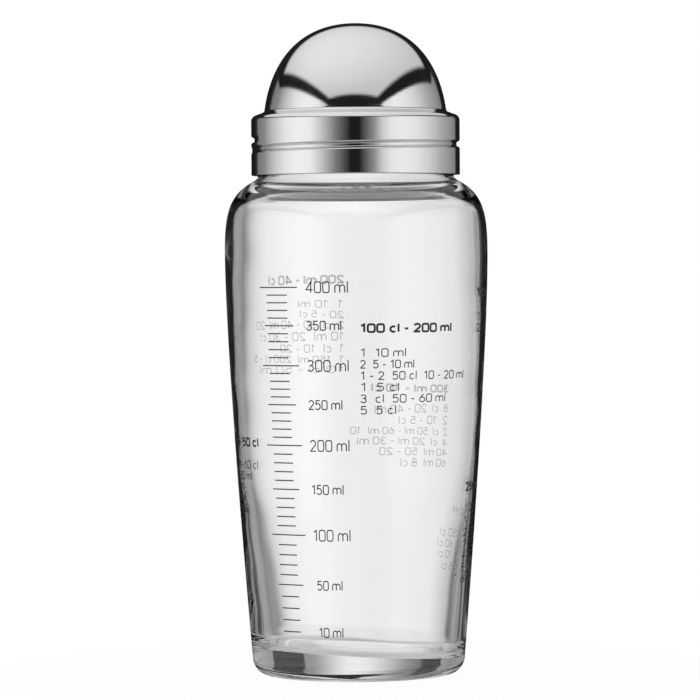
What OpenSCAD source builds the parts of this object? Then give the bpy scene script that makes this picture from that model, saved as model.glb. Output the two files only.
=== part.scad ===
// Salad dressing shaker: a glass bottle with a pouring insert in its neck, closed by a
// domed steel screw cap with a rolled thread. Millimetres, +Z up, origin under the foot.
// Profiles are lists of [radius, height] points that are turned about the Z axis.

/* [Bottle] */
// Radius of the glass at its widest
belly_r = 40.7; // [38:0.1:46]
// Height of the widest place above the table
belly_z = 130.7; // [112:0.1:136]
// Outer radius of the neck under the cap
neck_r = 30.3; // [28:0.1:33]
// Height of the glass rim above the table
rim_z = 167.3; // [160:0.1:185]
// Straight height of the neck, from the shoulder to the rim
neck_h = 12.3; // [11:0.1:14]
// Angle between the shoulder and the upright where it meets the neck
shoulder_angle = 62.4; // [50:0.1:68]
// Radius of the hollow curve between shoulder and neck
neck_fillet_r = 2.3; // [1.5:0.1:3]
// Outer radius of the flat ring that the bottle stands on
foot_r = 27.3; // [25:0.1:30]
// Width of that flat ring
foot_ring_w = 3.2; // [2:0.1:5]
// Radius of the heel, where the side turns into the foot
heel_r = 5.6; // [4:0.1:7]
// Lean of the side from the upright, just above the heel
heel_angle = 4.9; // [2:0.1:8]
// Height of the hollow under the base
push_up_h = 1.8; // [0.8:0.1:3]
// Thickness of the glass at the belly
wall_belly = 2.7; // [2:0.1:4]
// Thickness of the glass in the neck
wall_neck = 3; // [2.5:0.1:3.4]
// Thickness of the glass just above the base
wall_heel = 3.8; // [2.8:0.1:5]
// Thickness of the base at the edge of the floor
base_t = 7.6; // [6:0.1:11]
// Radius of the curve between floor and side inside
floor_fillet_r = 6; // [4:0.1:9]
// Rise of the floor to its middle
floor_rise = 0.8; // [0.3:0.1:1.5]

/* [Pouring insert] */
// Thickness of the flange that lies on the glass rim
insert_flange_t = 1.3; // [1:0.1:2]
// Depth of the plug below the rim
plug_depth = 10; // [8:0.1:12]
// Wall of the plug behind the sealing ring's groove
plug_web = 1.1; // [0.8:0.1:1.6]
// Gap between the plug and the glass
plug_gap = 0.3; // [0.2:0.05:0.5]
// Thickness of the sealing ring's section
ring_d = 1.8; // [1.4:0.1:2.2]
// Inner radius of the spout
spout_r = 16; // [13:0.1:17]
// Wall of the spout
spout_wall = 1.4; // [1.2:0.1:2]
// Height of the spout's lip above the rim
spout_h = 13.7; // [10:0.1:15]
// Overhang of the spout's lip
lip_w = 2.6; // [1.5:0.1:3]
// Depth of the strainer below the rim
strainer_depth = 3.8; // [3:0.1:5]
// Radius of one hole in the strainer
strainer_hole_r = 1.2; // [0.8:0.1:1.5]
// Rings of holes round the strainer's middle hole
strainer_rings = 3; // [2:1:3]
// Thickness of the strainer's sheet
strainer_t = 0.6; // [0.4:0.1:1]

/* [Cap] */
// Thickness of the steel sheet
cap_wall = 0.7; // [0.5:0.1:1]
// Length of the skirt below the glass rim
skirt_drop = 12.6; // [11.5:0.1:13]
// Depth of the rolled thread
thread_depth = 1; // [0.7:0.1:1.3]
// Width of the rolled thread at the surface
thread_w = 2.5; // [2:0.1:2.9]
// Rise of the thread in one turn
thread_pitch = 3.1; // [2.8:0.1:3.4]
// Drop from the rim to the middle of the thread, at the cap's +X side
thread_drop = 3.2; // [3:0.1:4.5]
// Gap between the rolled thread and the neck
thread_gap = 0.3; // [0.2:0.05:0.6]
// Radius of the cap's upper corner
corner_r = 2; // [1.5:0.1:2.4]
// Slope of the ledge round the dome
ledge_angle = 20; // [12:1:26]
// Width of the ledge, from the side of the cap to the foot of the dome
ledge_w = 4.15; // [3.8:0.05:4.6]
// Radius of the hollow curve at the foot of the dome
dome_fillet_r = 1; // [0.6:0.1:1.2]
// Height of the dome above its foot
dome_h = 26.8; // [22:0.1:34]
// Lean of the dome's wall at its foot
dome_lean = 7.9; // [4:0.1:12]

/* [Cap inside] */
// Thickness of the soft gasket
gasket_t = 1.5; // [1:0.1:2.2]
// Width of the soft gasket
gasket_w = 4; // [3:0.1:4.4]
// Height of the liner's edge, from the gasket to the cap's corner
liner_edge_h = 1.3; // [1:0.1:2]
// Wall of the plastic liner
liner_wall = 1.2; // [0.9:0.1:1.5]
// Space between the spout's lip and the liner's roof
headroom = 4.6; // [4.2:0.1:6]
// Depth of the liner's stopper ring inside the spout
stopper_depth = 3.5; // [2:0.1:5]
// Wall of the stopper ring
stopper_wall = 0.8; // [0.6:0.1:1.2]

/* [Hidden] */
$fn = 96;

// Fits between pieces that seat or move in each other
insert_edge_gap = 0.2;   // flange and gasket inside the line of the neck
liner_gap = 0.1;         // liner inside the steel shell
stopper_gap = 0.25;      // stopper ring inside the spout
strainer_gap = 0.05;     // strainer inside the spout
ring_gap = 0.05;         // sealing ring inside the glass

// Fullness of the curves: the length of each handle as a share of the curve's own height or width
shoulder_lower_full = 0.5;
shoulder_upper_full = 0.37;
side_upper_full = 0.228;
side_lower_full = 0.146;
dome_side_full = 0.567;
dome_top_full = 0.618;

// Levels worked out from the sizes above
neck_z = rim_z - neck_h;
flange_top_z = rim_z + insert_flange_t;
gasket_top_z = flange_top_z + gasket_t;
corner_z = gasket_top_z + liner_edge_h;
lip_z = rim_z + spout_h;
roof_z = lip_z + headroom;
strainer_z = rim_z - strainer_depth;
plug_z = rim_z - plug_depth;
skirt_z = rim_z - skirt_drop;
ring_z = plug_z + plug_depth * 0.4;

// Radii worked out from the sizes above
bore_r = neck_r - wall_neck;
cap_r = neck_r + thread_gap + thread_depth + cap_wall;
dome_r = cap_r - ledge_w;
flange_r = neck_r - insert_edge_gap;
plug_r = bore_r - plug_gap;
ring_r = bore_r - ring_gap - ring_d / 2;
groove_r = ring_r - ring_d / 2;
plug_in_r = groove_r - plug_web;

// Steps along the curves
curve_steps = 16;
arc_steps = 8;

// A cubic curve from a to d, with its two handles at b and c
function curve(a, b, c, d, n = curve_steps) =
  [for (i = [0:n]) let (t = i / n, u = 1 - t)
    u*u*u*a + 3*u*u*t*b + 3*u*t*t*c + t*t*t*d];

// The same curve moved sideways by gap, to the left of its direction
function curve_beside(a, b, c, d, gap, n = curve_steps) =
  [for (i = [0:n])
    let (t = i / n, u = 1 - t)
    let (p = u*u*u*a + 3*u*u*t*b + 3*u*t*t*c + t*t*t*d)
    let (way = u*u*(b - a) + 2*u*t*(c - b) + t*t*(d - c))
    p + gap * [-way[1], way[0]] / norm(way)];

// Points of an arc round centre, from angle a0 to a1
function arc(centre, r, a0, a1, n = arc_steps) =
  [for (i = [0:n]) let (a = a0 + (a1 - a0) * i / n) centre + r * [cos(a), sin(a)]];

function backwards(points) = [for (i = [len(points) - 1:-1:0]) points[i]];

// Shoulder from a belly of radius br up to a neck of radius r, ending in a hollow curve
function shoulder(br, r, fillet) =
  let (a = shoulder_angle)
  let (foot = [r + fillet * (1 - cos(a)), neck_z - fillet * sin(a)])
  let (rise = neck_z - belly_z)
  concat(
    curve([br, belly_z], [br, belly_z + shoulder_lower_full * rise],
      foot + shoulder_upper_full * rise * [sin(a), -cos(a)], foot),
    [for (i = [1:arc_steps]) let (t = a * (1 - i / arc_steps))
      [r + fillet * (1 - cos(t)), neck_z - fillet * sin(t)]]);

// Side from a belly of radius br down to the point low, leaning in at the foot
function side(br, low) =
  let (drop = belly_z - low[1])
  curve([br, belly_z], [br, belly_z - side_upper_full * drop],
    low + side_lower_full * drop * [sin(heel_angle), cos(heel_angle)], low);

module turned(profile) {
  rotate_extrude() polygon(profile);
}

// One closed wall of glass: thick base, leaning side, full shoulder and a plain neck
module glass_bottle() {
  rim_round = 0.6;
  heel_way = [cos(heel_angle), -sin(heel_angle)];
  heel_centre = [foot_r, heel_r];
  heel_top = heel_centre + heel_r * heel_way;
  floor_centre = [heel_top[0] - wall_heel - floor_fillet_r, base_t + floor_fillet_r];
  floor_side = floor_centre + floor_fillet_r * heel_way;
  hollow_r = foot_r - foot_ring_w;
  outside = concat(
    curve([0, push_up_h], [hollow_r / 2, push_up_h],
      [hollow_r * 0.9, push_up_h * 0.4], [hollow_r, 0], arc_steps),
    arc(heel_centre, heel_r, -90, -heel_angle),
    backwards(side(belly_r, heel_top)),
    shoulder(belly_r, neck_r, neck_fillet_r),
    arc([neck_r - rim_round, rim_z - rim_round], rim_round, 0, 90));
  inside = concat(
    arc([bore_r + rim_round, rim_z - rim_round], rim_round, 90, 180),
    backwards(shoulder(belly_r - wall_belly, bore_r, neck_fillet_r + wall_neck)),
    side(belly_r - wall_belly, floor_side),
    arc(floor_centre, floor_fillet_r, -heel_angle, -90),
    curve([floor_centre[0], base_t], [floor_centre[0] * 0.6, base_t],
      [floor_centre[0] * 0.4, base_t + floor_rise], [0, base_t + floor_rise], arc_steps));
  color([0.86, 0.90, 0.90, 0.4]) turned(concat(outside, inside));
}

// White plastic: a plug for the neck, a gutter that drains back, and a spout with a drip lip
module pouring_insert() {
  chamfer = 0.6;
  groove_h = ring_d + 0.4;
  gutter_drop = 3.4;
  gutter_t = 1.3;
  ledge_w = 1.2;
  ledge_t = 1.2;
  lip_t = 0.7;
  lip_turn_h = 2.4;
  drain_r = 1.1;
  drains = 6;
  gutter_z = flange_top_z - gutter_drop;
  seat_z = strainer_z - ledge_t;
  spout_out_r = spout_r + spout_wall;
  lip_r = spout_r + lip_w;
  lip_turn_z = lip_z - lip_turn_h;
  color([0.93, 0.94, 0.93]) difference() {
    turned(concat(
      [[plug_in_r, plug_z], [plug_r - chamfer, plug_z], [plug_r, plug_z + chamfer]],
      [[plug_r, ring_z - groove_h / 2], [groove_r, ring_z - groove_h / 2]],
      [[groove_r, ring_z + groove_h / 2], [plug_r, ring_z + groove_h / 2]],
      [[plug_r, rim_z], [flange_r, rim_z], [flange_r, flange_top_z]],
      [[plug_in_r, flange_top_z], [spout_out_r, gutter_z]],
      curve([spout_out_r, lip_turn_z], [spout_out_r, lip_z - lip_t * 2],
        [lip_r - lip_t, lip_z - lip_t * 1.2], [lip_r, lip_z - lip_t], arc_steps),
      curve([lip_r, lip_z], [spout_r + lip_w * 0.4, lip_z],
        [spout_r, lip_z - lip_t], [spout_r, lip_turn_z], arc_steps),
      [[spout_r, strainer_z], [spout_r - ledge_w, strainer_z], [spout_r - ledge_w, seat_z]],
      [[spout_out_r, seat_z], [spout_out_r, gutter_z - gutter_t]],
      [[plug_in_r, flange_top_z - gutter_t * 2]]));
    for (i = [0:drains - 1])
      rotate(360 * (i + 0.5) / drains)
        translate([spout_out_r + drain_r * 1.4, 0, plug_z])
          cylinder(r = drain_r, h = flange_top_z - plug_z);
  }
}

// Steel sheet with rings of round holes, lying on the ledge inside the spout
module strainer_disc() {
  plain_edge = 1.8;
  pitch = (spout_r - plain_edge - strainer_hole_r) / strainer_rings;
  color([0.75, 0.76, 0.77]) difference() {
    translate([0, 0, strainer_z]) cylinder(r = spout_r - strainer_gap, h = strainer_t);
    for (k = [0:strainer_rings], i = [0:max(0, 6 * k - 1)])
      rotate(k == 0 ? 0 : 60 * i / k)
        translate([pitch * k, 0, strainer_z - strainer_t])
          cylinder(r = strainer_hole_r, h = strainer_t * 3);
  }
}

// Soft ring in the plug's groove, flat at the back, which grips the bore of the neck
module insert_seal_ring() {
  half = ring_d / 2;
  color([0.86, 0.87, 0.86])
    turned(concat([[groove_r, ring_z - half]], arc([ring_r, ring_z], half, -90, 90),
      [[groove_r, ring_z + half]]));
}

// Flat soft washer between the insert's flange and the liner
module cap_gasket() {
  gasket_in_r = flange_r - gasket_w;
  color([0.88, 0.88, 0.86])
    turned([[gasket_in_r, flange_top_z], [flange_r, flange_top_z],
      [flange_r, gasket_top_z], [gasket_in_r, gasket_top_z]]);
}

// Places on the outside of the cap that its outline is drawn from
ledge_way = [sin(ledge_angle), cos(ledge_angle)];
dome_way = [cos(dome_lean), sin(dome_lean)];
corner_centre = [cap_r - corner_r, corner_z];
ledge_out = corner_centre + corner_r * ledge_way;
ledge_in_r = dome_r + dome_fillet_r * (dome_way[0] - ledge_way[0]);
ledge_in_z = ledge_out[1] + (ledge_out[0] - ledge_in_r) * tan(ledge_angle);
hollow_centre = [ledge_in_r, ledge_in_z] + dome_fillet_r * ledge_way;
dome_foot = hollow_centre - dome_fillet_r * dome_way;
dome_top = [0, dome_foot[1] + dome_h];

// Dome from its foot to its top, a distance inside the steel's outer face
function dome_outline(inset) =
  curve_beside(dome_foot, dome_foot + dome_side_full * dome_h * [-dome_way[1], dome_way[0]],
    dome_top + [dome_top_full * dome_r, 0], dome_top, inset);

// Corner, ledge and dome together, a distance inside the steel's outer face
function cap_outline(inset) = concat(
  arc(corner_centre, corner_r - inset, 0, 90 - ledge_angle),
  arc(hollow_centre, dome_fillet_r + inset, 270 - ledge_angle, 180 + dome_lean),
  dome_outline(inset));

// Radius of an outline at a height
function radius_at(outline, z) = lookup(z, [for (p = outline) [p[1], p[0]]]);

// The part of an outline under a height, ended on that height
function cut_at(outline, z) =
  concat([for (p = outline) if (p[1] < z) p], [[radius_at(outline, z), z]]);

// Plastic cup inside the steel: a seat for the gasket, a roof over the spout and its stopper
module cap_liner() {
  outer = cut_at(cap_outline(cap_wall + liner_gap), roof_z);
  inner = cut_at(dome_outline(cap_wall + liner_gap + liner_wall), roof_z - liner_wall);
  stopper_r = spout_r - stopper_gap;
  stopper_in_r = stopper_r - stopper_wall;
  stopper_z = lip_z - stopper_depth;
  color([0.90, 0.91, 0.90])
    turned(concat(
      [[outer[0][0], gasket_top_z]], outer, [[0, roof_z], [0, roof_z - liner_wall]],
      [[stopper_in_r, roof_z - liner_wall], [stopper_in_r, stopper_z]],
      [[stopper_r, stopper_z], [stopper_r, roof_z - liner_wall]],
      backwards(inner), [[inner[0][0], gasket_top_z]]));
}

// Middle of the rolled thread at an angle round the cap, in degrees, over more than one turn
function thread_z(angle) = rim_z - thread_drop + thread_pitch * angle / 360;

thread_start = -188;
thread_end = 204;
thread_fade = 18;
thread_low_z = thread_z(thread_start) - thread_w / 2;
thread_high_z = thread_z(thread_end) + thread_w / 2;

// Share of the full depth, from 0 to 1, at an angle along the thread
function thread_strength(angle) =
  let (s = min(angle - thread_start, thread_end - angle) / thread_fade)
  s <= 0 ? 0 : s >= 1 ? 1 : s * s * (3 - 2 * s);

// Shape of the groove across its width, 1 at its flat bottom and 0 at its edges
function groove_shape(offset) =
  let (flat = 0.3, u = abs(offset) * 2 / thread_w)
  u >= 1 ? 0 : u <= flat ? 1 : (1 + cos(180 * (u - flat) / (1 - flat))) / 2;

// How far the thread is rolled in at an angle and a height; the strands of two turns may both count
function rolled_in(angle, z) =
  thread_depth * max([for (turn = [-1:1]) let (a = angle + 360 * turn)
    thread_strength(a) * groove_shape(z - thread_z(a))]);

// Skirt with the rolled thread: one closed loop of points at each of the slices round the axis.
// Slices are chords of the round skirt, so the outside is let out and the inside taken in a little,
// and the plain round wall above ends inside this one.
module threaded_skirt(top_z) {
  slices = 60;
  rows = 19;
  let_out = 0.03;
  step = (thread_high_z - thread_low_z) / rows;
  levels = concat([skirt_z], [for (i = [0:rows]) thread_low_z + step * i], [top_z]);
  m = len(levels);
  out_r = (cap_r + let_out) / cos(180 / slices);
  in_r = cap_r - cap_wall - let_out;
  points = [for (s = [0:slices - 1], i = [0:2 * m - 1])
    let (angle = 360 * s / slices - 180)
    let (z = i < m ? levels[i] : levels[2 * m - 1 - i])
    let (r = (i < m ? out_r : in_r) - rolled_in(angle, z))
    [r * cos(angle), r * sin(angle), z]];
  faces = [for (s = [0:slices - 1], i = [0:2 * m - 1])
    let (t = (s + 1) % slices, j = (i + 1) % (2 * m))
    let (a = s * 2 * m + i, b = t * 2 * m + i, c = t * 2 * m + j, d = s * 2 * m + j)
    each [[a, d, c], [a, c, b]]];
  polyhedron(points = points, faces = faces, convexity = 6);
}

// Drawn steel: dome, sloping ledge, rounded corner and the skirt
module cap_shell() {
  join_gap = 0.4;
  lap = 0.5;
  join_z = thread_high_z + join_gap;
  color([0.80, 0.81, 0.82]) {
    turned(concat([[cap_r, join_z - lap]], cap_outline(0), backwards(cap_outline(cap_wall)),
      [[cap_r - cap_wall, join_z - lap]]));
    threaded_skirt(join_z);
  }
}

glass_bottle();
pouring_insert();
strainer_disc();
insert_seal_ring();
cap_gasket();
cap_liner();
cap_shell();
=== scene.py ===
import math
import bpy
import numpy as np
from mathutils import Matrix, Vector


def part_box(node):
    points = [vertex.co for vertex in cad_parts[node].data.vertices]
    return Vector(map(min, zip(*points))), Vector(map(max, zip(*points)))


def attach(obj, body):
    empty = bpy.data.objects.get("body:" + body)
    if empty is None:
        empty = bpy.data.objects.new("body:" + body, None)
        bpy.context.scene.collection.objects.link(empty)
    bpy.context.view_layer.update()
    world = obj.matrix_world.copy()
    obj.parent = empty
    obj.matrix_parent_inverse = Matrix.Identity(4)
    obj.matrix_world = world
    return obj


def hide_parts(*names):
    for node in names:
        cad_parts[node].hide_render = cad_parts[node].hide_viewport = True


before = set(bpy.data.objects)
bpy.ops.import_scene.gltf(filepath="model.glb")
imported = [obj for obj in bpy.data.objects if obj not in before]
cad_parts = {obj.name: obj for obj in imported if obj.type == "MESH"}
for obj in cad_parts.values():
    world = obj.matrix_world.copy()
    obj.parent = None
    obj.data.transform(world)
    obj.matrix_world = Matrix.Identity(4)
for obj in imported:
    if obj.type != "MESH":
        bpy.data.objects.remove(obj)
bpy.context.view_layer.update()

MM = 0.001

# The studio: a camera at the height of the bottle's shoulder, a pale floor, and a sky that holds
# the lights of a product photograph: a broad box overhead, a tall soft box on each side, a narrow
# dark slot where the camera stands, and a dark card on each side of the pale backdrop.
camera_distance = 1343 * MM
camera_height = 126 * MM
camera_aim = 100.5 * MM
camera_roll = math.radians(-0.38)
view_width = 217 * MM
axis_aside = -0.0098
floor_radius = 0.9
floor_shade = 50 * MM
table_glow = 0.5
card_away = 182 * MM
card_width = 300 * MM
card_top = 225 * MM

camera = bpy.data.objects.new("camera", bpy.data.cameras.new("camera"))
bpy.context.scene.collection.objects.link(camera)
camera.data.sensor_width = 36
camera.data.lens = 36 * camera_distance / view_width
camera.data.shift_x = axis_aside
tilt = math.atan((camera_height - camera_aim) / camera_distance)
camera.matrix_world = (Matrix.Translation((0, -camera_distance, camera_height))
                       @ Matrix.Rotation(math.pi / 2 - tilt, 4, "X")
                       @ Matrix.Rotation(camera_roll, 4, "Z"))
bpy.context.scene.camera = camera
bpy.context.scene.view_settings.view_transform = "Standard"
bpy.context.scene.cycles.max_bounces = 24
bpy.context.scene.cycles.glossy_bounces = 16
bpy.context.scene.cycles.transmission_bounces = 24


class Nodes:
    """A short way to write a node tree: each call adds one node, links what it is given and returns its output."""

    def __init__(self, tree):
        self.tree = tree
        tree.nodes.clear()

    def add(self, kind, inputs=(), out=0, **settings):
        node = self.tree.nodes.new(kind)
        for key, value in settings.items():
            setattr(node, key, value)
        for key, value in dict(inputs).items():
            if isinstance(value, bpy.types.NodeSocket):
                self.tree.links.new(value, node.inputs[key])
            else:
                node.inputs[key].default_value = value
        return node.outputs[out] if len(node.outputs) else node

    def math(self, operation, *values):
        return self.add("ShaderNodeMath", enumerate(values), operation=operation)

    def rise(self, value, low, high, bottom=0.0, top=1.0):
        """A soft step: bottom where value is under low, top where it is over high."""
        return self.add("ShaderNodeMapRange", {0: value, 1: low, 2: high, 3: bottom, 4: top},
                        interpolation_type="SMOOTHSTEP")

    def ramp(self, value, stops):
        """Grey that goes through each (place, brightness) of stops, place from 0 to 1."""
        node = self.tree.nodes.new("ShaderNodeValToRGB")
        self.tree.links.new(value, node.inputs[0])
        elements = node.color_ramp.elements
        while len(elements) < len(stops):
            elements.new(0.5)
        for element, (place, grey) in zip(elements, stops):
            element.position = place
            element.color = (grey, grey, grey, 1)
        return node.outputs[0]


def studio_round():
    """Node group: brightness of the studio round the horizon for a direction, from the angle it makes with the
    camera's side. Dark where the camera stands and behind, and a tall soft box on each side that fades towards
    the back."""
    left_side = ((0, 0.015), (34, 0.02), (41, 0.05), (42, 0.22), (60, 0.33), (78, 0.72), (96, 1.06), (114, 1.2),
                 (130, 1.13), (146, 0.62), (158, 0.26), (167, 0.11), (175, 0.01))
    right_side = ((184, 0.008), (193, 0.17), (201, 0.37), (210, 0.82), (220, 1.07), (234, 1.14), (250, 1.05),
                  (268, 0.84), (290, 0.52), (323.5, 0.25), (324.5, 0.05), (335, 0.015), (360, 0.015))
    group = bpy.data.node_groups.new("studio_round", "ShaderNodeTree")
    group.interface.new_socket("Direction", in_out="INPUT", socket_type="NodeSocketVector")
    group.interface.new_socket("Light", in_out="OUTPUT", socket_type="NodeSocketFloat")
    n = Nodes(group)
    way = n.add("NodeGroupInput")
    x, y = (n.add("ShaderNodeSeparateXYZ", {0: way}, out=i) for i in range(2))
    turn = n.math("DIVIDE", n.math("ARCTAN2", x, n.math("MULTIPLY", y, -1.0)), 2 * math.pi)
    stops = [(degrees / 360, grey) for degrees, grey in left_side + right_side]
    n.add("NodeGroupOutput", {0: n.ramp(n.math("ADD", turn, 0.5), stops)})
    return group


def studio_sky(around_group):
    """Brightness by direction. Round the horizon it is the studio's side lights. Overhead, where u = x/z and
    v = y/z are the place on a level ceiling, it is one broad soft box, brightest left of its middle. Between the
    overhead box and the tops of the side boxes, which are straight lines on the ceiling, it is dark."""
    dark = 0.015
    backdrop_top = math.tan(math.radians(11))
    world = bpy.data.worlds.new("studio_sky")
    bpy.context.scene.world = world
    world.use_nodes = True
    n = Nodes(world.node_tree)
    way = n.add("ShaderNodeTexCoord", out=0)
    x, y, z = (n.add("ShaderNodeSeparateXYZ", {0: way}, out=i) for i in range(3))
    around = n.add("ShaderNodeGroup", {0: way}, node_tree=around_group)
    level = n.math("SQRT", n.math("ADD", n.math("MULTIPLY", x, x), n.math("MULTIPLY", y, y)))
    slope = n.math("DIVIDE", z, n.math("MAXIMUM", level, 0.001))
    back = n.rise(n.math("DIVIDE", y, n.math("MAXIMUM", level, 0.001)), 0.88, 0.92)
    sheet = n.rise(slope, backdrop_top - 0.04, backdrop_top + 0.04, 0.0, 1.0)
    up = n.math("MAXIMUM", z, 0.002)
    u = n.math("DIVIDE", x, up)
    v = n.math("DIVIDE", y, up)
    v_near = n.math("MAXIMUM", n.math("MINIMUM", v, 3.0), -2.2)
    edge_right = n.math("MULTIPLY_ADD", v_near, 0.17, 2.05)
    edge_left = n.math("MULTIPLY_ADD", v_near, 0.2, 2.25)
    over_right = n.rise(n.math("SUBTRACT", u, edge_right), -0.12, 0.12)
    over_left = n.rise(n.math("SUBTRACT", n.math("MULTIPLY", u, -1.0), edge_left), -0.12, 0.12)
    side = n.math("MAXIMUM", over_right, over_left)
    low = n.math("MAXIMUM", side, n.math("MULTIPLY", back, n.math("SUBTRACT", 1.0, sheet)))
    low = n.math("MAXIMUM", low, n.rise(slope, 0.30, 0.33, 1.0, 0.0))
    half = n.math("MULTIPLY_ADD", v_near, 0.13, 1.46)
    aside = n.math("ABSOLUTE", n.math("ADD", u, 0.115))
    across = n.rise(n.math("SUBTRACT", aside, half), -0.12, 0.12, 1.0, 0.0)
    along = n.math("MULTIPLY", n.rise(v, -2.05, -1.75), n.rise(v, 1.3, 1.75, 1.0, 0.0))
    peak = n.math("SQRT", n.math("ADD", n.math("POWER", n.math("ADD", u, 0.5), 2.0), n.math("POWER", v, 2.0)))
    over = n.math("MULTIPLY", n.math("MULTIPLY", across, along), n.rise(peak, 0.0, 2.2, 1.06, 0.72))
    sky = n.math("MAXIMUM", n.math("MULTIPLY", around, low), n.math("MAXIMUM", over, dark))
    seen = n.add("ShaderNodeLightPath", out="Is Camera Ray")
    colour = n.add("ShaderNodeMix", {0: seen, 2: sky, 3: 1.0}, data_type="FLOAT")
    background = n.add("ShaderNodeBackground", {0: colour, 1: 1.0})
    n.add("ShaderNodeOutputWorld", {0: background})


def studio_card():
    """A card close behind the bottle, which lights the glass through and isn't seen by the camera itself. It is white
    in the middle and falls off to both sides, near the table a little sooner. Rays that crossed only solid glass,
    the base and the outermost edges, find it narrower and between two dark gaps."""
    straight = ((-150, 0.22), (-66, 0.22), (-60, 0.36), (-54, 0.62), (-48, 0.78), (-42, 0.88), (-30, 0.92), (-18, 1.0),
                (0, 1.04), (12, 0.96), (24, 0.88), (33, 0.85), (48, 0.86), (54, 0.78), (66, 0.66), (76, 0.56),
                (86, 0.12), (96, 0.02), (125, 0.02), (137, 0.25), (150, 0.25))
    narrow = ((-150, 0.28), (-113, 0.28), (-111, 0.02), (-68, 0.02), (-62, 0.14), (-48, 0.22), (-42, 0.28),
              (-36, 0.36), (-24, 0.56), (-12, 0.78), (-6, 0.86), (0, 0.91), (6, 0.9), (12, 0.84), (18, 0.72),
              (24, 0.58), (30, 0.45), (36, 0.34), (42, 0.27), (51, 0.25), (53, 0.02), (124, 0.02), (126, 0.3),
              (150, 0.3))
    half = card_width / 2
    mesh = bpy.data.meshes.new("white_card")
    mesh.from_pydata([(-half, card_away, 0), (half, card_away, 0), (half, card_away, card_top),
                      (-half, card_away, card_top)], [], [(0, 1, 2, 3)])
    card = bpy.data.objects.new("white_card", mesh)
    bpy.context.scene.collection.objects.link(card)
    card.visible_camera = False
    card.visible_shadow = False
    material = bpy.data.materials.new("lit_card")
    material.use_nodes = True
    n = Nodes(material.node_tree)
    place = n.add("ShaderNodeTexCoord", out=3)
    across, height = (n.add("ShaderNodeSeparateXYZ", {0: place}, out=i) for i in (0, 2))
    low = n.rise(height, 12 * MM, 45 * MM, 1.12, 1.0)
    reach = n.math("MULTIPLY", n.math("GREATER_THAN", n.math("ABSOLUTE", across), 100 * MM), n.rise(height, 40 * MM, 60 * MM))
    views = []
    for glow, stretch in ((straight, low), (narrow, 1.0)):
        place = n.math("MULTIPLY_ADD", n.math("MULTIPLY", across, stretch), 1 / card_width, 0.5)
        views.append(n.ramp(place, [(0.5 + x * MM / card_width, grey) for x, grey in glow]))
    high = n.math("MULTIPLY", n.rise(height, 140 * MM, 175 * MM, 0.0, 0.65), n.math("GREATER_THAN", across, 0.0))
    crossed = n.add("ShaderNodeLightPath", out="Transmission Depth")
    solid = n.math("COMPARE", crossed, 2.0, 0.5)
    edge = n.add("ShaderNodeMix", {0: reach, 2: views[1], 3: 0.01}, data_type="FLOAT")
    light = n.add("ShaderNodeMix", {0: solid, 2: n.math("MAXIMUM", views[0], high), 3: edge}, data_type="FLOAT")
    light = n.math("MAXIMUM", n.math("MULTIPLY", light, n.math("GREATER_THAN", crossed, 0.5)), 0.012)
    n.add("ShaderNodeOutputMaterial", {0: n.add("ShaderNodeEmission", {0: light, 1: 1.0})})
    mesh.materials.append(material)


def studio_floor():
    """A round sheet on the table plane. The camera sees it white with the object's shadow left on it, the glass sees
    a polished table that mirrors the side lights, its mirror dimmed near the bottle as painted shade, and from below it
    isn't there."""
    turns = np.linspace(0, 2 * math.pi, 97)[:-1]
    rim = np.column_stack((floor_radius * np.cos(turns), floor_radius * np.sin(turns), np.zeros(96)))
    mesh = bpy.data.meshes.new("floor")
    mesh.from_pydata(rim.tolist(), [], [list(range(96))])
    floor = bpy.data.objects.new("floor", mesh)
    bpy.context.scene.collection.objects.link(floor)
    material = bpy.data.materials.new("pale_floor")
    material.use_nodes = True
    n = Nodes(material.node_tree)
    place = n.add("ShaderNodeTexCoord", out=3)
    away = n.add("ShaderNodeVectorMath", {0: place}, out=1, operation="LENGTH")
    far = n.rise(away, floor_shade, 2.5 * floor_shade)
    sheet = n.add("ShaderNodeBsdfDiffuse", {0: (0.95, 0.95, 0.95, 1)})
    white = n.add("ShaderNodeEmission", {0: (1, 1, 1, 1), 1: 1.0})
    seen = n.add("ShaderNodeMixShader", {0: n.math("MAXIMUM", far, 0.96), 1: sheet, 2: white})
    # Painted shade: the mirror's tint is 0.9 within 60 mm of the bottle's axis and rises to 1.0 at 160 mm, a darker
    # reflection round the foot.
    mirror_painted_shade = n.rise(away, 0.06, 0.16, 0.9, 1.0)
    gloss = n.add("ShaderNodeBsdfAnisotropic", {0: mirror_painted_shade, 1: 0.02})
    glow = n.add("ShaderNodeEmission", {0: (1, 1, 1, 1), 1: table_glow})
    grazing = n.rise(n.add("ShaderNodeLayerWeight", {0: 0.5}, out=1), 0.5, 0.8)
    camera_ray = n.add("ShaderNodeLightPath", out="Is Camera Ray")
    glass_ray = n.math("MAXIMUM", *(n.add("ShaderNodeLightPath", out=kind)
                                    for kind in ("Is Transmission Ray", "Is Glossy Ray")))
    other = n.add("ShaderNodeMixShader", {0: glass_ray, 1: sheet,
                                          2: n.add("ShaderNodeMixShader", {0: grazing, 1: glow, 2: gloss})})
    shown = n.add("ShaderNodeMixShader", {0: camera_ray, 1: other, 2: seen})
    under = n.add("ShaderNodeNewGeometry", out=6)
    clear = n.add("ShaderNodeBsdfTransparent")
    n.add("ShaderNodeOutputMaterial", {0: n.add("ShaderNodeMixShader", {0: under, 1: shown, 2: clear})})
    mesh.materials.append(material)


side_lights = studio_round()
studio_sky(side_lights)
studio_card()
studio_floor()

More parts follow.
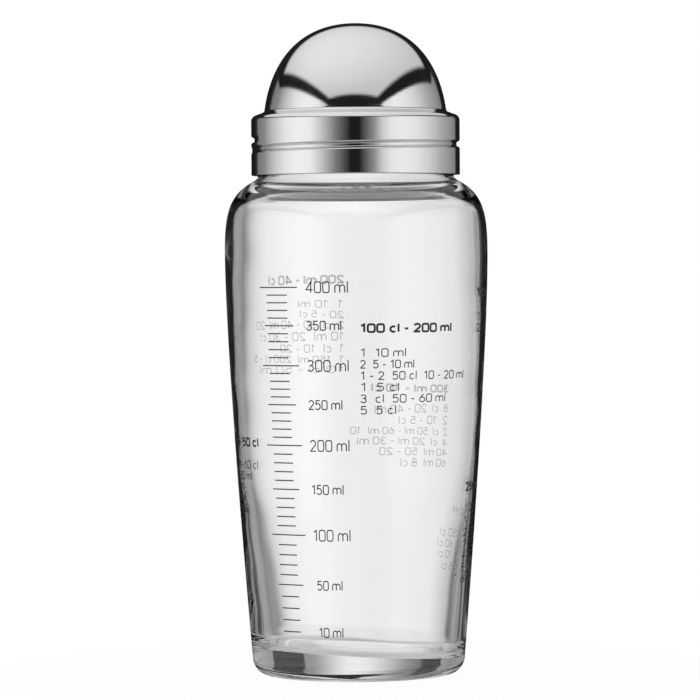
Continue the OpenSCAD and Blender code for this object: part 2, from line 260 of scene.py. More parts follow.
# The bottle is one piece of clear soda glass: a thick base, pushed up in the middle, a side that
# widens upwards, a full shoulder and a neck with one turn of raised thread. It is pressed and
# blown, so its outside is true and its inside wavers a little.
glass_low, glass_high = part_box("glass_bottle")
rim_z = glass_high.z
belly_r = glass_high.x
belly_z = 130.7 * MM
neck_r = 30.3 * MM
neck_z = rim_z - 12.3 * MM
bore_r = neck_r - 3 * MM
shoulder_angle = math.radians(62.4)
neck_fillet = 2.3 * MM
foot_r = 27.3 * MM
foot_ring = 3.2 * MM
heel_r = 5.6 * MM
heel_angle = math.radians(4.9)
push_up = 1.8 * MM
base_t = 7.3 * MM
floor_rise = 1.6 * MM
floor_fillet = 3 * MM
wall_belly = 2.5 * MM
wall_waist = 1.4 * MM
wall_heel = 3.9 * MM
waist_z = 72 * MM
shoulder_drop = -0.3 * MM
bore_fillet = 5.8 * MM
rim_round = 0.6 * MM
thread_pitch = 3.1 * MM
groove_drop = 3.2 * MM


def cubic(a, b, c, d, count):
    """Points of the cubic curve from a to d with handles b and c, as a (count, 2) array."""
    t = np.linspace(0, 1, count)[:, None]
    u = 1 - t
    return u**3 * a + 3 * u**2 * t * b + 3 * u * t**2 * c + t**3 * d


def arc(centre, radius, start, end, count):
    """Points of an arc about centre, from angle start to end in degrees."""
    t = np.radians(np.linspace(start, end, count))
    return np.array(centre) + radius * np.column_stack((np.cos(t), np.sin(t)))


def joined(*parts):
    """One profile from several, without the points that repeat where they meet."""
    points = np.concatenate([np.atleast_2d(np.array(part, float)) for part in parts])
    step = np.linalg.norm(np.diff(points, axis=0), axis=1)
    return points[np.concatenate(([True], step > 1e-7))]


def shoulder(wide, narrow, fillet, drop=0.0):
    """Full curve from the belly up to the foot of the neck, then a hollow curve of radius fillet into the neck. The
    whole neck end can be lower by drop."""
    turn = shoulder_angle
    foot = np.array((narrow + fillet * (1 - math.cos(turn)), neck_z - drop - fillet * math.sin(turn)))
    rise = neck_z - drop - belly_z
    start = np.array((wide, belly_z))
    full = cubic(start, start + (0, 0.5 * rise), foot + 0.37 * rise * np.array((math.sin(turn), -math.cos(turn))),
                 foot, 40)
    t = np.linspace(turn, 0, 14)
    hollow = np.column_stack((narrow + fillet * (1 - np.cos(t)), neck_z - drop - fillet * np.sin(t)))
    return joined(full, hollow)


def side(wide, low, count=60):
    """Side from the belly down to the point low, where it leans by the heel's angle."""
    start = np.array((wide, belly_z))
    drop = belly_z - low[1]
    lean = np.array((math.sin(heel_angle), math.cos(heel_angle)))
    return cubic(start, start - (0, 0.228 * drop), low + 0.146 * drop * lean, low, count)


def inner_side(low):
    """Inside of the side from the belly down to the point low: the outside less the wall, which is thinnest at the
    waist. Above, the wall grows with the square of the height; below, by a soft step down to the heel."""
    heel_way = np.array((math.cos(heel_angle), -math.sin(heel_angle)))
    outside = side(belly_r, np.array((foot_r, heel_r)) + heel_r * heel_way, 400)
    z = np.linspace(belly_z, low[1], 90)
    radius = np.interp(z, outside[::-1, 1], outside[::-1, 0])
    above = np.clip((z - waist_z) / (belly_z - waist_z), 0, 1)
    below = np.clip((waist_z - z) / (waist_z - low[1]), 0, 1)
    wall = wall_waist + (wall_belly - wall_waist) * above**2 + (wall_heel - wall_waist) * below**2 * (3 - 2 * below)
    wall[-1] = radius[-1] - low[0]
    return np.column_stack((radius - wall, z))


def glass_profiles():
    """Outer and inner outline of the glass, each an array of (radius, height) from the axis up to the rim."""
    heel_way = np.array((math.cos(heel_angle), -math.sin(heel_angle)))
    heel_centre = np.array((foot_r, heel_r))
    heel_top = heel_centre + heel_r * heel_way
    hollow_r = foot_r - foot_ring
    under = cubic(np.array((0, push_up)), np.array((hollow_r / 2, push_up)),
                  np.array((hollow_r * 0.9, push_up * 0.4)), np.array((hollow_r, 0)), 20)
    heel = arc(heel_centre, heel_r, -90, -math.degrees(heel_angle), 16)
    outer = joined(under, (foot_r - foot_ring / 2, 0), heel, side(belly_r, heel_top)[::-1],
                   shoulder(belly_r, neck_r, neck_fillet),
                   np.column_stack((np.full(56, neck_r), np.linspace(neck_z, rim_z - rim_round, 56))),
                   arc((neck_r - rim_round, rim_z - rim_round), rim_round, 0, 90, 8))
    corner = np.array((heel_top[0] - wall_heel - floor_fillet, base_t + floor_fillet))
    corner_top = corner + floor_fillet * heel_way
    floor = cubic(np.array((0, base_t + floor_rise)), np.array((corner[0] * 0.4, base_t + floor_rise)),
                  np.array((corner[0] * 0.6, base_t)), np.array((corner[0], base_t)), 24)
    inner = joined(floor, arc(corner, floor_fillet, -90, -math.degrees(heel_angle), 16),
                   inner_side(corner_top)[::-1],
                   shoulder(belly_r - wall_belly, bore_r, bore_fillet, shoulder_drop),
                   np.column_stack((np.full(10, bore_r), np.linspace(neck_z - shoulder_drop, rim_z - rim_round, 10))),
                   arc((bore_r + rim_round, rim_z - rim_round), rim_round, 180, 90, 8))
    return outer, inner


def turned_surface(name, radius, height, turns):
    """Surface through the points (radius, height) turned by the angles turns: both arrays have one row for each
    step along the profile and one column for each angle. Rows of zero radius at the ends close to one point."""
    rows, columns = radius.shape
    x, y = radius * np.cos(turns), radius * np.sin(turns)
    grid = np.stack((x, y, height), axis=2).reshape(-1, 3)
    index = np.arange(rows * columns).reshape(rows, columns)
    start, end = radius[0].max() < 1e-9, radius[-1].max() < 1e-9
    loop = not (start or end)
    body = index[(1 if start else 0):(rows - 1 if end else rows)]
    low = body if loop else body[:-1]
    high = np.roll(body, -1, axis=0) if loop else body[1:]
    quads = np.stack((low, np.roll(low, -1, axis=1), np.roll(high, -1, axis=1), high), axis=2).reshape(-1, 4)
    faces = [quads]
    if start:
        ring = body[0]
        faces.append(np.stack((np.full(columns, index[0, 0]), np.roll(ring, -1), ring, ring), axis=1)[:, :3])
    if end:
        ring = body[-1]
        faces.append(np.stack((np.full(columns, index[-1, 0]), ring, np.roll(ring, -1), ring), axis=1)[:, :3])
    return surface(name, grid, faces)


def surface(name, points, faces, smooth=True):
    """A mesh object from an array of points and arrays of faces, without the points that no face uses."""
    used = np.unique(np.concatenate([f.ravel() for f in faces]))
    place = np.zeros(len(points), int)
    place[used] = np.arange(len(used))
    corners = np.concatenate([place[f].ravel() for f in faces])
    sizes = np.concatenate([np.full(len(f), f.shape[1]) for f in faces])
    mesh = bpy.data.meshes.new(name)
    mesh.vertices.add(len(used))
    mesh.vertices.foreach_set("co", points[used].ravel())
    mesh.loops.add(len(corners))
    mesh.loops.foreach_set("vertex_index", corners.astype(np.int32))
    mesh.polygons.add(len(sizes))
    mesh.polygons.foreach_set("loop_start", np.concatenate(([0], np.cumsum(sizes)[:-1])).astype(np.int32))
    mesh.polygons.foreach_set("use_smooth", np.full(len(sizes), smooth))
    mesh.update(calc_edges=True)
    mesh.validate()
    piece = bpy.data.objects.new(name, mesh)
    bpy.context.scene.collection.objects.link(piece)
    return piece


def groove_height(degrees):
    """Height of the middle of the cap's rolled thread at an angle counted round the cap over more than one turn."""
    return rim_z - groove_drop + thread_pitch * degrees / 360


def bottle_mesh():
    """Outer and inner outline turned about the axis. The outside gets the raised thread, a rounded ridge that climbs
    one pitch a turn and fades at both ends; the inside gets a floor that leans and a wall that wavers."""
    columns = 256
    ridge_height = 0.75 * MM
    ridge_width = 1.5 * MM
    ridge_lift = 1.75 * MM
    ridge_start, ridge_end, ridge_fade = -345.0, 15.0, 30.0
    floor_lean = (0.062, 0.022)
    waver = 0.02 * MM
    turns = np.linspace(0, 2 * math.pi, columns, endpoint=False)
    outer, inner = glass_profiles()
    profile = np.concatenate((outer, inner[::-1]))
    radius = np.repeat(profile[:, :1], columns, axis=1)
    height = np.repeat(profile[:, 1:], columns, axis=1)
    degrees = np.degrees(turns)
    ridge = np.zeros_like(radius)
    for turn in (-360, -720, 0):
        place = degrees + turn
        fade = np.clip(np.minimum(place - ridge_start, ridge_end - place) / ridge_fade, 0, 1)
        off = np.abs(height - groove_height(place) - ridge_lift) / (ridge_width / 2)
        ridge = np.maximum(ridge, fade**2 * (3 - 2 * fade) * np.cos(np.clip(off, 0, 1) * math.pi / 2) ** 2)
    outside = np.arange(len(profile)) < len(outer)
    radius += ridge_height * ridge * (outside & (profile[:, 1] > neck_z))[:, None]
    inside = (~outside & (profile[:, 1] < neck_z))[:, None]
    near_floor = np.clip(1 - (height - base_t) / (25 * MM), 0, 1) ** 2
    height -= inside * near_floor * radius * (floor_lean[0] * np.cos(turns) + floor_lean[1] * np.sin(turns))
    ripple = np.sin(3 * turns + 40 * height / (100 * MM)) + 0.7 * np.sin(5 * turns - 23 * height / (100 * MM) + 1)
    radius += inside * waver * ripple * np.clip(radius / (20 * MM), 0, 1)
    return turned_surface("glass_bottle_wall", radius, height, turns)


def clear_glass():
    """Clear soda glass, with a faint green-grey tint and a skin that is a little uneven."""
    material = bpy.data.materials.new("clear_glass")
    material.use_nodes = True
    n = Nodes(material.node_tree)
    place = n.add("ShaderNodeTexCoord", out=3)
    drift = n.add("ShaderNodeTexNoise", {0: place, 2: 45.0, 3: 2.0}, out=0)
    bump = n.add("ShaderNodeBump", {0: 0.015, 1: 0.0005, 3: drift})
    glass = n.add("ShaderNodeBsdfPrincipled", {
        "Base Color": (0.968, 0.975, 0.972, 1), "Roughness": 0.0, "IOR": 1.5,
        "Transmission Weight": 1.0, "Normal": bump})
    n.add("ShaderNodeOutputMaterial", {0: glass})
    return material


bottle = bottle_mesh()
bottle.data.materials.append(clear_glass())
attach(bottle, "bottle")
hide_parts("glass_bottle")

# The scale and the lists of amounts round the bottle are printed on the outside of the glass in
# dark grey ink, a thin layer that stands a few hundredths of a millimetre proud. All glyphs are
# single strokes of one width: numbers, a dash and the sign for millilitres.
ink_t = 0.03 * MM
scale_marks = ((400, 120.2), (350, 108.6), (300, 96.5), (250, 84.65), (200, 72.3), (150, 58.95), (100, 45.05),
               (50, 29.8), (10, 15.45))
scale_stroke = 0.36 * MM
list_height = 2.3 * MM
list_stroke = 0.33 * MM


def bow(x, y, half_width, half_height, start, end, count=16, square=1.0):
    """Points of an ellipse about (x, y) from one angle to another in degrees; a square over 1 fills its corners."""
    t = np.radians(np.linspace(start, end, count))
    c, d = np.cos(t), np.sin(t)
    return np.column_stack((x + half_width * np.sign(c) * np.abs(c) ** (1 / square),
                            y + half_height * np.sign(d) * np.abs(d) ** (1 / square)))


def glyph_strokes():
    """For each glyph its width and its strokes, in shares of the height of a number."""
    six = joined(((0.50, 1.0), (0.34, 0.86), (0.14, 0.58)), bow(0.34, 0.31, 0.30, 0.31, 158, 518, 26))
    arch = joined(((0, 0), (0, 0.52)), bow(0.23, 0.47, 0.23, 0.24, 168, 0, 12), ((0.46, 0),))
    return {
        "0": (0.68, (bow(0.34, 0.5, 0.30, 0.5, 0, 360, 41, 2.2),)),
        "1": (0.50, (((0.10, 0.80), (0.36, 1.0), (0.36, 0)),)),
        "2": (0.66, (joined(bow(0.32, 0.71, 0.27, 0.29, 165, -25), ((0.05, 0), (0.62, 0))),)),
        "3": (0.64, (joined(bow(0.29, 0.76, 0.25, 0.24, 155, -80), ((0.24, 0.53),),
                            bow(0.29, 0.27, 0.28, 0.27, 88, -155)),)),
        "4": (0.70, (((0.50, 0), (0.50, 1.0), (0.03, 0.27), (0.68, 0.27)),)),
        "5": (0.64, (joined(((0.56, 1.0), (0.12, 1.0), (0.09, 0.56)), bow(0.30, 0.33, 0.29, 0.33, 122, -150)),)),
        "6": (0.66, (six,)),
        "8": (0.66, (bow(0.33, 0.76, 0.24, 0.24, 0, 360, 24), bow(0.33, 0.27, 0.29, 0.27, 0, 360, 24))),
        "c": (0.50, (bow(0.28, 0.355, 0.26, 0.355, 50, 310),)),
        "m": (0.92, (arch, joined(((0.46, 0), (0.46, 0.5)), bow(0.69, 0.47, 0.23, 0.24, 168, 0, 12), ((0.92, 0),)))),
        "l": (0.16, (((0.12, 0), (0.12, 1.05)),)),
        "-": (0.40, (((0.04, 0.42), (0.36, 0.42)),)),
        " ": (0.24, ()),
    }


def closely(path, step):
    """The same path with points added so that none are further apart than step."""
    path = np.array(path, float)
    length = np.concatenate(([0], np.cumsum(np.linalg.norm(np.diff(path, axis=0), axis=1))))
    count = max(2, int(math.ceil(length[-1] / step)) + 1)
    places = np.unique(np.concatenate((np.linspace(0, length[-1], count), length)).round(9))
    return np.column_stack((np.interp(places, length, path[:, 0]), np.interp(places, length, path[:, 1])))


def ink_stroke(path, width):
    """A path on the unrolled glass made a flat bar: at each point four corners, left and right of the path by half
    the width, above and below the surface. A path that ends where it starts becomes a ring."""
    loop = np.linalg.norm(path[0] - path[-1]) < 1e-6
    if loop:
        path = path[:-1]
        along = np.roll(path, -1, axis=0) - np.roll(path, 1, axis=0)
        before, after = path - np.roll(path, 1, axis=0), np.roll(path, -1, axis=0) - path
    else:
        step = np.diff(path, axis=0)
        before, after = np.vstack((step[:1], step)), np.vstack((step, step[-1:]))
    before = before / np.linalg.norm(before, axis=1)[:, None]
    after = after / np.linalg.norm(after, axis=1)[:, None]
    along = before + after
    along /= np.maximum(np.linalg.norm(along, axis=1), 0.3)[:, None]
    aside = np.column_stack((-along[:, 1], along[:, 0]))
    reach = width / 2 / np.maximum((aside * np.column_stack((-before[:, 1], before[:, 0]))).sum(axis=1), 0.6)
    left, right = path + aside * reach[:, None], path - aside * reach[:, None]
    count = len(path)
    r = np.interp(np.stack((left, right))[..., 1], side_height, side_radius)
    corners = np.stack((np.column_stack((left, r[0] + ink_t)), np.column_stack((right, r[1] + ink_t)),
                        np.column_stack((right, r[1] - ink_t / 3)), np.column_stack((left, r[0] - ink_t / 3))), axis=1)
    index = np.arange(4 * count).reshape(count, 4)
    here = index if loop else index[:-1]
    there = np.roll(index, -1, axis=0)[:len(here)]
    quads = np.stack((here, np.roll(here, -1, axis=1), np.roll(there, -1, axis=1), there), axis=2).reshape(-1, 4)
    if not loop:
        quads = np.vstack((quads, index[0][::-1], index[-1]))
    return corners.reshape(-1, 3), quads


def written(text, start, end, z, height):
    """Strokes of one line of print centred on the height z, from the angle start to end in degrees. Its glyphs are
    narrowed or widened together to fill that length."""
    glyphs = glyph_strokes()
    gap = 0.13
    places, x = [], 0.0
    for letter in text:
        places.append(x)
        x += glyphs[letter][0] + gap
    scale = math.radians(end - start) * belly_r / (x - gap)
    origin = np.array((math.radians(start) * belly_r, z - height / 2))
    return [origin + np.array((place, 0)) * scale + np.array(stroke) * (scale, height)
            for letter, place in zip(text, places) for stroke in glyphs[letter][1]]


def scale_strokes():
    """The scale: a tick and a number at each mark, and ticks for every ten millilitres between."""
    def tick(start, end, z):
        return np.array(((math.radians(start) * belly_r, z), (math.radians(end) * belly_r, z)))
    strokes = []
    for (amount, z), (less, below) in zip(scale_marks, scale_marks[1:] + ((0, 0),)):
        whole = amount % 100 == 0
        height = (3.25 if whole else 2.7) * MM
        start = -22.2 if amount > 50 else -20.9
        end = -3.7 if whole else -6.7 if amount > 50 else -8.0
        strokes += written(str(amount) + " ml", start, end, z * MM, height)
        strokes.append(tick(-46.4, -26.3, z * MM) if whole else tick(-44.1, -28.6, z * MM) if amount > 10
                       else tick(-42.4, -31.4, z * MM))
        steps = (amount - less) // 10 if amount > 10 else 1
        strokes += [tick(-42.4, -31.4, (z + (below - z) * k / steps) * MM) for k in range(1, steps)]
    return strokes


def list_strokes():
    """The lists, each with a bold heading and lines of amounts: (heading, start, heading's end, heading's height,
    first line's height, step down, lines with the angle each ends at)."""
    lists = (
        ("100 cl - 200 ml", 1.4, 45.7, 107.8, 100.4, 3.47, (
            ("1  10 ml", 21.9), ("2  5 - 10 ml", 25.9), ("1 - 2  50 cl  10 - 20 ml", 55.5), ("1  5 cl", 18.9),
            ("3  cl  50 - 60 ml", 43.4), ("5  5 cl", 17.6))),
        ("200 ml - 40 cl", 186.0, 226.0, 123.4, 115.8, 3.6, (
            ("1  10 ml", 208.5), ("20 - 5 cl", 207.5), ("2  cl  30 - 40 ml  20", 235.5), ("10 ml  20 - 30 cl", 232.1),
            ("1  cl  10 - 20", 219.1), ("1  150 ml  200 cl - 5", 238.4), ("10 cl - 50 ml", 234.1))),
        ("300 ml - 10 cl", 129.7, 173.0, 88.0, 81.4, 3.58, (
            ("8  cl  20 - 40 ml", 171.5), ("2  10 - 5 cl", 159.2), ("2  cl  50 ml - 60 ml  10", 183.6),
            ("4  cl  20 ml - 30 ml", 180.2), ("40 ml  50 - 20", 169.0), ("60 ml  8 cl", 157.8))),
        ("500 ml - 50 cl", -97.0, -53.0, 72.9, 66.0, 3.5, (
            ("1  50 ml - 60 cl", -54.2), ("2  20 - 30 ml", -60.2), ("1  10 ml", -76.0), ("3  100 ml", -70.0),
            ("2  40 - 50 ml", -66.0), ("6  5 cl", -78.0))),
        ("250 ml - 50 cl", 63.5, 105.0, 58.7, 52.0, 3.6, (
            ("1  20 ml", 86.0), ("1  cl  50 - 60 ml", 118.0), ("2  10 ml", 90.0), ("1  100 ml - 150 cl", 128.9),
            ("4  20 ml - 30  60 cl", 130.2), ("5  50 ml - 20  10 cl", 128.9), ("6  20 ml - 5 cl", 124.3))),
        ("100 ml", 66.0, 84.0, 118.3, 111.0, 3.5, (("1  10 ml", 102.0), ("2  30 ml", 104.0))),
    )
    fine, bold = [], []
    for heading, start, heading_end, heading_z, first_z, step, lines in lists:
        bold += written(heading, start, heading_end, heading_z * MM, list_height)
        for k, (text, end) in enumerate(lines):
            fine += written(text, start, end, (first_z - step * k) * MM, list_height)
    return fine, bold


def ink_mesh():
    """All strokes bent round the glass: a stroke's first coordinate is the length round the belly, and so an angle,
    the second the height, the third the distance from the axis."""
    fine, bold = list_strokes()
    points, faces, count = [], [], 0
    for strokes, width in ((scale_strokes(), scale_stroke), (fine, list_stroke), (bold, 2.0 * list_stroke)):
        for path in strokes:
            corners, quads = ink_stroke(closely(path, 0.6 * MM), width)
            points.append(corners)
            faces.append(quads + count)
            count += len(corners)
    points = np.concatenate(points)
    turn = points[:, 0] / belly_r - math.pi / 2
    placed = np.column_stack((points[:, 2] * np.cos(turn), points[:, 2] * np.sin(turn), points[:, 1]))
    return surface("printed_scale", placed, [np.concatenate(faces)], smooth=False)


def printing_ink():
    """Dark grey enamel ink, slightly uneven in tone. It is a thin film, so from inside the glass some light comes
    through it."""
    material = bpy.data.materials.new("printing_ink")
    material.use_nodes = True
    n = Nodes(material.node_tree)
    place = n.add("ShaderNodeTexCoord", out=3)
    patchy = n.add("ShaderNodeTexNoise", {0: place, 2: 900.0, 3: 3.0}, out=0)
    tone = n.add("ShaderNodeMix", {0: n.rise(patchy, 0.35, 0.7), 6: (0.012, 0.012, 0.013, 1), 7: (0.035, 0.035, 0.037, 1)},
                 out=2, data_type="RGBA")
    rough = n.rise(patchy, 0.3, 0.7, 0.35, 0.6)
    ink = n.add("ShaderNodeBsdfPrincipled", {"Base Color": tone, "Roughness": rough,
                                             "Normal": n.add("ShaderNodeBump", {0: 0.2, 1: 0.00002, 3: patchy})})
    facing = n.add("ShaderNodeVectorMath", {0: place, 1: n.add("ShaderNodeTexCoord", out=1)}, out=1,
                   operation="DOT_PRODUCT")
    inner = n.math("MAXIMUM", n.math("LESS_THAN", facing, 0.0), n.add("ShaderNodeNewGeometry", out=6))
    from_glass = n.add("ShaderNodeLightPath", out="Is Transmission Ray")
    film = n.math("MULTIPLY", n.math("MULTIPLY", inner, from_glass), 0.74)
    n.add("ShaderNodeOutputMaterial", {0: n.add("ShaderNodeMixShader", {0: film, 1: ink,
                                                                        2: n.add("ShaderNodeBsdfTransparent")})})
    return material


outer_side = glass_profiles()[0]
outer_side = outer_side[(outer_side[:, 1] > heel_r) & (outer_side[:, 1] < neck_z)]
side_height, side_radius = outer_side[:, 1], outer_side[:, 0]
print_piece = ink_mesh()
print_piece.data.materials.append(printing_ink())
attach(print_piece, "bottle")

# The pouring insert is one injection moulding in milk-white plastic: a flange that lies on the
# glass rim, a spout with a turned-over lip and a plug that holds the sealing ring. It pulls out of
# the neck to fill the bottle.
def moulded_skin():
    """Node group: the skin of a moulded part at a place, for so many grains to the metre. Height is the eroded
    texture of the mould, Patch the broad drift in tone and gloss, both from 0 to 1."""
    group = bpy.data.node_groups.new("moulded_skin", "ShaderNodeTree")
    group.interface.new_socket("Place", in_out="INPUT", socket_type="NodeSocketVector")
    group.interface.new_socket("Grain", in_out="INPUT", socket_type="NodeSocketFloat")
    group.interface.new_socket("Height", in_out="OUTPUT", socket_type="NodeSocketFloat")
    group.interface.new_socket("Patch", in_out="OUTPUT", socket_type="NodeSocketFloat")
    n = Nodes(group)
    place, grain = (n.add("NodeGroupInput", out=i) for i in range(2))
    pits = n.add("ShaderNodeTexVoronoi", {0: place, 2: grain})
    fine = n.add("ShaderNodeTexNoise", {0: place, 2: n.math("MULTIPLY", grain, 0.6), 3: 4.0}, out=0)
    height = n.math("MULTIPLY_ADD", pits, 0.45, n.math("MULTIPLY", fine, 0.55))
    drift = n.add("ShaderNodeTexNoise", {0: place, 2: 70.0, 3: 3.0}, out=0)
    n.add("NodeGroupOutput", {0: height, 1: n.rise(drift, 0.3, 0.7)})
    return group


def plastic(name, dark, pale, grain, roughness, bump, subsurface, ridges=None):
    """Moulded plastic or rubber: its skin's patches drift between two tones and two roughnesses, and its grain is a
    low bump. Ridges, a height worked out by the caller's function of the nodes and the place, stand on top."""
    material = bpy.data.materials.new(name)
    material.use_nodes = True
    n = Nodes(material.node_tree)
    place = n.add("ShaderNodeTexCoord", out=3)
    height, patch = (n.add("ShaderNodeGroup", {0: place, 1: grain}, out=i, node_tree=skin) for i in range(2))
    tone = n.add("ShaderNodeMix", {0: patch, 6: dark, 7: pale}, out=2, data_type="RGBA")
    rough = n.math("ADD", n.rise(patch, 0.0, 1.0, *roughness), n.math("MULTIPLY", height, 0.08))
    if ridges:
        height = n.math("ADD", height, ridges(n, place))
    normal = n.add("ShaderNodeBump", {0: bump, 1: 0.00005, 3: height})
    body = n.add("ShaderNodeBsdfPrincipled", {
        "Base Color": tone, "Roughness": rough, "IOR": 1.49, "Normal": normal, "Subsurface Weight": subsurface,
        "Subsurface Radius": (0.0012, 0.0012, 0.0011), "Subsurface Scale": 1.0})
    n.add("ShaderNodeOutputMaterial", {0: body})
    return material


def dress(node, material):
    """Puts a material into every material slot of a piece carried over from the solids."""
    for material_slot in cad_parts[node].material_slots:
        material_slot.material = material


skin = moulded_skin()
dress("pouring_insert", plastic("insert_plastic", (0.78, 0.78, 0.77, 1), (0.86, 0.86, 0.85, 1), 3500.0, (0.3, 0.42),
                                0.2, 0.25))


# The strainer is a punched disc of thin stainless steel, clipped into the insert under the spout. Its
# sheet was rolled, so fine marks run along one way, and each punched hole keeps a brighter edge.
def rolled_sheet():
    """Satin steel: noise stretched along X gives the marks of rolling in roughness, tone and bump."""
    material = bpy.data.materials.new("strainer_steel")
    material.use_nodes = True
    n = Nodes(material.node_tree)
    place = n.add("ShaderNodeTexCoord", out=3)
    stretch = n.add("ShaderNodeMapping", {0: place, 3: (60.0, 2500.0, 2500.0)})
    marks = n.add("ShaderNodeTexNoise", {0: stretch, 2: 1.0, 3: 5.0}, out=0)
    stain = n.add("ShaderNodeTexNoise", {0: place, 2: 180.0, 3: 4.0}, out=0)
    tone = n.add("ShaderNodeMix", {0: n.rise(marks, 0.3, 0.7), 6: (0.52, 0.52, 0.53, 1), 7: (0.68, 0.68, 0.69, 1)},
                 out=2, data_type="RGBA")
    rough = n.math("ADD", n.rise(marks, 0.3, 0.7, 0.2, 0.32), n.math("MULTIPLY", stain, 0.1))
    level = n.math("ABSOLUTE", n.add("ShaderNodeSeparateXYZ", {0: n.add("ShaderNodeTexCoord", out=1)}, out=2))
    cut = n.rise(level, 0.1, 0.6, 0.5, 1.0)
    normal = n.add("ShaderNodeBump", {0: n.math("MULTIPLY", cut, 0.15), 1: 0.00002, 3: marks})
    steel = n.add("ShaderNodeBsdfPrincipled", {
        "Base Color": tone, "Metallic": 1.0, "Roughness": n.math("MULTIPLY", rough, cut), "Normal": normal})
    n.add("ShaderNodeOutputMaterial", {0: steel})
    return material


dress("strainer_disc", rolled_sheet())


# The ring that seals the insert against the glass is pale silicone with a round section. It keeps the
# fine line where the two halves of its mould met.
def mould_line(n, place):
    """A thin ridge round the ring at its middle height, 1 on the line and 0 a tenth of a millimetre away."""
    ring_low, ring_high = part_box("insert_seal_ring")
    middle = (ring_low.z + ring_high.z) / 2
    away = n.math("ABSOLUTE", n.math("SUBTRACT", n.add("ShaderNodeSeparateXYZ", {0: place}, out=2), middle))
    return n.rise(away, 0.03 * MM, 0.1 * MM, 1.0, 0.0)


dress("insert_seal_ring", plastic("seal_silicone", (0.62, 0.64, 0.63, 1), (0.74, 0.75, 0.74, 1), 6000.0, (0.42, 0.58),
                                  0.35, 0.4, mould_line))

# The gasket is a flat silicone washer that lies in the cap and closes on the glass rim. Its faces
# were cut from sheet, so its grain is coarser and its surface duller than the ring's.
dress("cap_gasket", plastic("gasket_silicone", (0.70, 0.70, 0.68, 1), (0.80, 0.80, 0.78, 1), 2200.0, (0.55, 0.7),
                            0.5, 0.3))


# The liner is a white plastic moulding pressed into the cap: an edge that holds the gasket, a roof
# and a stopper ring that goes into the spout. Its mould was turned, which left faint rings.
def turned_rings(n, place):
    """Fine ridges about the axis: the sine of the distance from it, one every half millimetre."""
    flat = n.add("ShaderNodeVectorMath", {0: place, 1: (1, 1, 0)}, operation="MULTIPLY")
    away = n.add("ShaderNodeVectorMath", {0: flat}, out=1, operation="LENGTH")
    return n.math("MULTIPLY", n.math("SINE", n.math("MULTIPLY", away, 2 * math.pi / (0.5 * MM))), 0.3)


dress("cap_liner", plastic("liner_plastic", (0.80, 0.80, 0.79, 1), (0.88, 0.88, 0.87, 1), 4000.0, (0.26, 0.36), 0.25,
                           0.2, turned_rings))

# The cap is deep-drawn from one disc of stainless steel and mirror polished: a dome, a sloping
# ledge round its foot, a rounded corner and a straight skirt. A thread is rolled into the skirt.
cap_low, cap_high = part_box("cap_shell")
steel_t = 0.7 * MM
thread_depth = 1 * MM
thread_gap = 0.3 * MM
cap_r = neck_r + thread_gap + thread_depth + steel_t
corner_z = rim_z + 4.1 * MM
corner_r = 2 * MM
ledge_angle = math.radians(20)
dome_r = cap_r - 4.15 * MM
dome_fillet = 1 * MM
dome_h = 26.8 * MM
dome_lean = math.radians(7.9)
skirt_z = cap_low.z
thread_w = 2.5 * MM
thread_start, thread_end, thread_fade = -188.0, 204.0, 18.0


def cap_outline(inset):
    """Outline of the cap from its corner up to the top of the dome, a distance inside the outer face."""
    ledge_way = np.array((math.sin(ledge_angle), math.cos(ledge_angle)))
    dome_way = np.array((math.cos(dome_lean), math.sin(dome_lean)))
    corner = np.array((cap_r - corner_r, corner_z))
    ledge_out = corner + corner_r * ledge_way
    ledge_in_r = dome_r + dome_fillet * (dome_way[0] - ledge_way[0])
    ledge_in = np.array((ledge_in_r, ledge_out[1] + (ledge_out[0] - ledge_in_r) * math.tan(ledge_angle)))
    hollow = ledge_in + dome_fillet * ledge_way
    foot = hollow - dome_fillet * dome_way
    top = np.array((0, foot[1] + dome_h))
    b = foot + 0.567 * dome_h * np.array((-dome_way[1], dome_way[0]))
    c = top + (0.618 * dome_r, 0)
    dome = cubic(foot, b, c, top, 90)
    along = np.gradient(dome, axis=0)
    along[-1] = (-1, 0)
    along /= np.linalg.norm(along, axis=1)[:, None]
    dome = dome + inset * np.column_stack((-along[:, 1], along[:, 0]))
    dome[-1, 0] = 0
    return joined(arc(corner, corner_r - inset, 0, 90 - math.degrees(ledge_angle), 20),
                  arc(hollow, dome_fillet + inset, 270 - math.degrees(ledge_angle),
                      180 + math.degrees(dome_lean), 14), dome)


def rolled_in(degrees, height):
    """How far the thread is rolled in: a groove with a flat bottom and soft flanks round a helix, faded at its ends."""
    depth = np.zeros(np.broadcast(degrees, height).shape)
    flat = 0.3
    for turn in (-360, 0, 360):
        place = degrees + turn
        fade = np.clip(np.minimum(place - thread_start, thread_end - place) / thread_fade, 0, 1)
        off = np.abs(height - groove_height(place)) * 2 / thread_w
        shape = (1 + np.cos(math.pi * np.clip((off - flat) / (1 - flat), 0, 1))) / 2
        depth = np.maximum(depth, fade**2 * (3 - 2 * fade) * shape)
    return thread_depth * depth


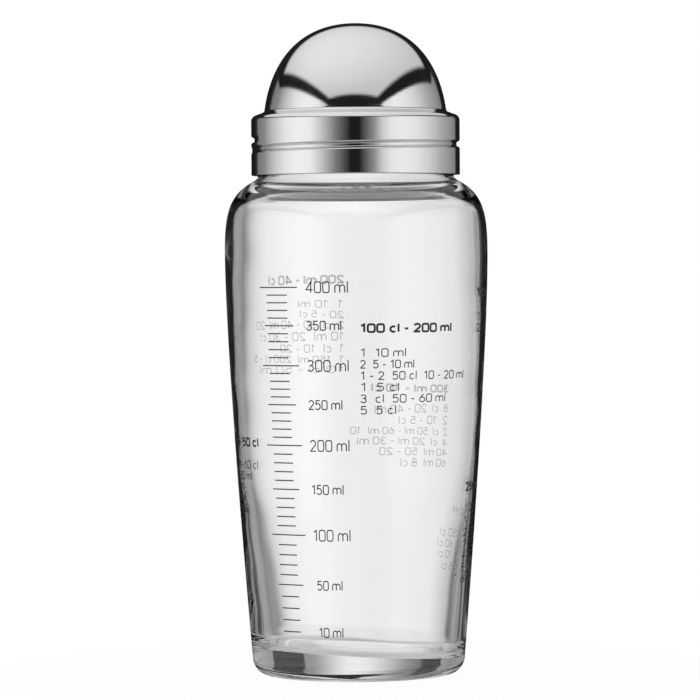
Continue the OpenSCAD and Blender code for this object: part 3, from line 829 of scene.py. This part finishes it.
def cap_mesh():
    """The outline turned about the axis, outside and inside, with the skirt pressed in along the rolled thread."""
    columns = 360
    edge_round = 0.15 * MM
    skirt_rows = 90
    turns = np.linspace(-math.pi, math.pi, columns, endpoint=False)
    skirt_heights = np.linspace(skirt_z + edge_round, corner_z, skirt_rows)[:-1]
    outer = joined(arc((cap_r - edge_round, skirt_z + edge_round), edge_round, -90, 0, 4),
                   np.column_stack((np.full(len(skirt_heights), cap_r), skirt_heights)), cap_outline(0))
    inner_r = cap_r - steel_t
    inner = joined(arc((inner_r + edge_round, skirt_z + edge_round), edge_round, 270, 180, 4),
                   np.column_stack((np.full(len(skirt_heights), inner_r), skirt_heights)), cap_outline(steel_t))
    pieces = []
    for outline, inward in ((outer, False), (inner, True)):
        radius = np.repeat(outline[:, :1], columns, axis=1)
        height = np.repeat(outline[:, 1:], columns, axis=1)
        radius -= rolled_in(np.degrees(turns), height) * (outline[:, 1:] < corner_z)
        pieces.append((radius, height))
    radius = np.concatenate((pieces[1][0][::-1], pieces[0][0]))
    height = np.concatenate((pieces[1][1][::-1], pieces[0][1]))
    return turned_surface("cap_shell_steel", radius, height, turns)


def polished_steel():
    """Mirror-polished stainless steel: fine marks of the polishing wheel round the axis and a faint haze."""
    material = bpy.data.materials.new("polished_steel")
    material.use_nodes = True
    n = Nodes(material.node_tree)
    place = n.add("ShaderNodeTexCoord", out=3)
    haze = n.add("ShaderNodeTexNoise", {0: place, 2: 60.0, 3: 4.0}, out=0)
    rough = n.rise(haze, 0.3, 0.7, 0.05, 0.09)
    stretch = n.add("ShaderNodeMapping", {0: place, 3: (30.0, 30.0, 900.0)})
    lines = n.add("ShaderNodeTexNoise", {0: stretch, 2: 4.0, 3: 3.0}, out=0)
    bump = n.add("ShaderNodeBump", {0: 0.03, 1: 0.0001, 3: lines})
    steel = n.add("ShaderNodeBsdfPrincipled", {
        "Base Color": (0.72, 0.72, 0.725, 1), "Metallic": 1.0, "Roughness": rough, "Normal": bump})
    n.add("ShaderNodeOutputMaterial", {0: steel})
    return material


cap = cap_mesh()
cap.data.materials.append(polished_steel())
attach(cap, "cap")
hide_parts("cap_shell")
